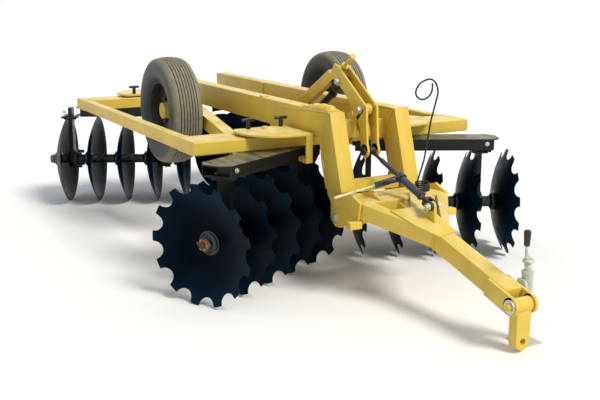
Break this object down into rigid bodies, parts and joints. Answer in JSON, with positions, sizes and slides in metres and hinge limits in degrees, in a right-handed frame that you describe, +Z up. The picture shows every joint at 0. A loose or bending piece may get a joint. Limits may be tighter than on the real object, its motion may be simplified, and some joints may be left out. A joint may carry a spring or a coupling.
{
  "type": "tandem disc harrow",
  "caption": "Towed tandem disc harrow with four angled blade gangs, lift wheels, lift linkage and a hinged drawbar.",
  "frame": {"origin": "on the ground, under the middle of the machine's box", "axes": "+Y to the rear, away from the hitch, +X to the machine's left, +Z up"},
  "size_m": [2.3928, 4.397, 1.2785],
  "materials": {
    "yellow_paint": "satin",
    "blade_steel": "gloss",
    "black_beam": "satin",
    "worn_iron": "rough",
    "tyre_rubber": "matte",
    "zinc_steel": "satin",
    "jack_paint": "satin",
    "spring_steel": "satin"
  },
  "bodies": {
    "frame": {"front_lateral_tube": "yellow_paint", "rear_lateral_tube": "yellow_paint", "right_side_tube": "yellow_paint", "left_side_tube": "yellow_paint", "right_main_beam": "yellow_paint", "left_main_beam": "yellow_paint", "front_cross_tube": "yellow_paint", "lever_stand": "yellow_paint", "rockshaft_bearings": "yellow_paint", "tongue_pivot_pins": "zinc_steel"},
    "rockshaft": {"rockshaft": "yellow_paint"},
    "right_wheel": {"right_tire": "tyre_rubber", "right_wheel_rim": "yellow_paint"},
    "left_wheel": {"left_tire": "tyre_rubber", "left_wheel_rim": "yellow_paint"},
    "levers": {"lift_levers": "yellow_paint", "lift_lever_pins": "zinc_steel", "lift_stop_screw": "yellow_paint"},
    "lift_link": {"lift_link": "yellow_paint"},
    "tongue": {"tongue_frame": "yellow_paint", "hitch_cheeks": "yellow_paint", "hitch_pin": "yellow_paint", "jack_tube": "jack_paint", "jack_crank": "jack_paint", "hose_holder": "spring_steel", "level_jack_pin": "zinc_steel"},
    "level_jack": {"level_jack_screws": "zinc_steel", "level_jack_barrel": "black_beam"},
    "hitch_link": {"hitch_link": "yellow_paint"},
    "jack_leg": {"jack_leg": "jack_paint"},
    "right_front_gang": {"right_front_gang_beam": "black_beam", "right_front_gang_standards": "black_beam", "right_front_angle_plate": "yellow_paint"},
    "right_front_blades": {"right_front_gang_blades": "blade_steel", "right_front_gang_arbor": "worn_iron"},
    "left_front_gang": {"left_front_gang_beam": "black_beam", "left_front_gang_standards": "black_beam", "left_front_angle_plate": "yellow_paint"},
    "left_front_blades": {"left_front_gang_blades": "blade_steel", "left_front_gang_arbor": "worn_iron"},
    "right_rear_gang": {"right_rear_gang_beam": "black_beam", "right_rear_gang_standards": "black_beam", "right_rear_angle_plate": "yellow_paint"},
    "right_rear_blades": {"right_rear_gang_blades": "blade_steel", "right_rear_gang_arbor": "worn_iron"},
    "left_rear_gang": {"left_rear_gang_beam": "black_beam", "left_rear_gang_standards": "black_beam", "left_rear_angle_plate": "yellow_paint"},
    "left_rear_blades": {"left_rear_gang_blades": "blade_steel", "left_rear_gang_arbor": "worn_iron"}
  },
  "joints": [
    {"name": "right_front_gang_swivel", "type": "hinge", "parent": "frame", "child": "right_front_gang", "pos_m": [-0.45, -0.45147, 0.823], "axis": [0, 0, -1], "range_deg": [0, 8]},
    {"name": "right_front_blades_spin", "type": "hinge", "parent": "right_front_gang", "child": "right_front_blades", "pos_m": [-1.044, -0.87147, 0.33], "axis": [0.887, 0.4617, 0], "continuous": true},
    {"name": "left_front_gang_swivel", "type": "hinge", "parent": "frame", "child": "left_front_gang", "pos_m": [0.45, -0.45147, 0.823], "axis": [0, 0, 1], "range_deg": [0, 8]},
    {"name": "left_front_blades_spin", "type": "hinge", "parent": "left_front_gang", "child": "left_front_blades", "pos_m": [1.044, -0.87147, 0.33], "axis": [-0.887, 0.4617, 0], "continuous": true},
    {"name": "right_rear_gang_swivel", "type": "hinge", "parent": "frame", "child": "right_rear_gang", "pos_m": [-0.45, 1.62853, 0.823], "axis": [0, 0, 1], "range_deg": [0, 8]},
    {"name": "right_rear_blades_spin", "type": "hinge", "parent": "right_rear_gang", "child": "right_rear_blades", "pos_m": [-0.982, 1.90353, 0.33], "axis": [0.891, -0.454, 0], "continuous": true},
    {"name": "left_rear_gang_swivel", "type": "hinge", "parent": "frame", "child": "left_rear_gang", "pos_m": [0.45, 1.62853, 0.823], "axis": [0, 0, -1], "range_deg": [0, 8]},
    {"name": "left_rear_blades_spin", "type": "hinge", "parent": "left_rear_gang", "child": "left_rear_blades", "pos_m": [0.982, 1.90353, 0.33], "axis": [-0.891, -0.454, 0], "continuous": true},
    {"name": "rockshaft_turn", "type": "hinge", "parent": "frame", "child": "rockshaft", "pos_m": [0, -0.16147, 0.692], "axis": [-1, 0, 0], "range_deg": [0, 55]},
    {"name": "right_wheel_spin", "type": "hinge", "parent": "rockshaft", "child": "right_wheel", "pos_m": [-0.633, 0.58053, 0.846], "axis": [1, 0, 0], "continuous": true},
    {"name": "left_wheel_spin", "type": "hinge", "parent": "rockshaft", "child": "left_wheel", "pos_m": [0.633, 0.58053, 0.846], "axis": [1, 0, 0], "continuous": true},
    {"name": "lever_turn", "type": "hinge", "parent": "frame", "child": "levers", "pos_m": [0, -0.83147, 0.975], "axis": [-1, 0, 0], "range_deg": [0, 31.1]},
    {"name": "link_turn", "type": "hinge", "parent": "levers", "child": "lift_link", "pos_m": [0, -0.59547, 1.112], "axis": [1, 0, 0], "range_deg": [0, 38.3]},
    {"name": "tongue_turn", "type": "hinge", "parent": "frame", "child": "tongue", "pos_m": [0, -0.98447, 0.416], "axis": [1, 0, 0], "range_deg": [0, 15]},
    {"name": "level_jack_turn", "type": "hinge", "parent": "tongue", "child": "level_jack", "pos_m": [0, -1.46747, 0.548], "axis": [1, 0, 0], "range_deg": [0, 3.9]},
    {"name": "hitch_link_swing", "type": "hinge", "parent": "tongue", "child": "hitch_link", "pos_m": [0, -2.14647, 0.228], "axis": [-1, 0, 0], "range_deg": [-15, 90]},
    {"name": "jack_leg_slide", "type": "slide", "parent": "tongue", "child": "jack_leg", "axis": [0, 0, 1], "range_m": [-0.1, 0.08]}
  ],
  "couplings": [
    {"joint": "lever_turn", "follows": "rockshaft_turn", "ratio": 0.5643},
    {"joint": "link_turn", "follows": "rockshaft_turn", "ratio": 0.6939},
    {"joint": "tongue_turn", "follows": "rockshaft_turn", "ratio": 0.2714},
    {"joint": "level_jack_turn", "follows": "rockshaft_turn", "ratio": 0.0706}
  ]
}
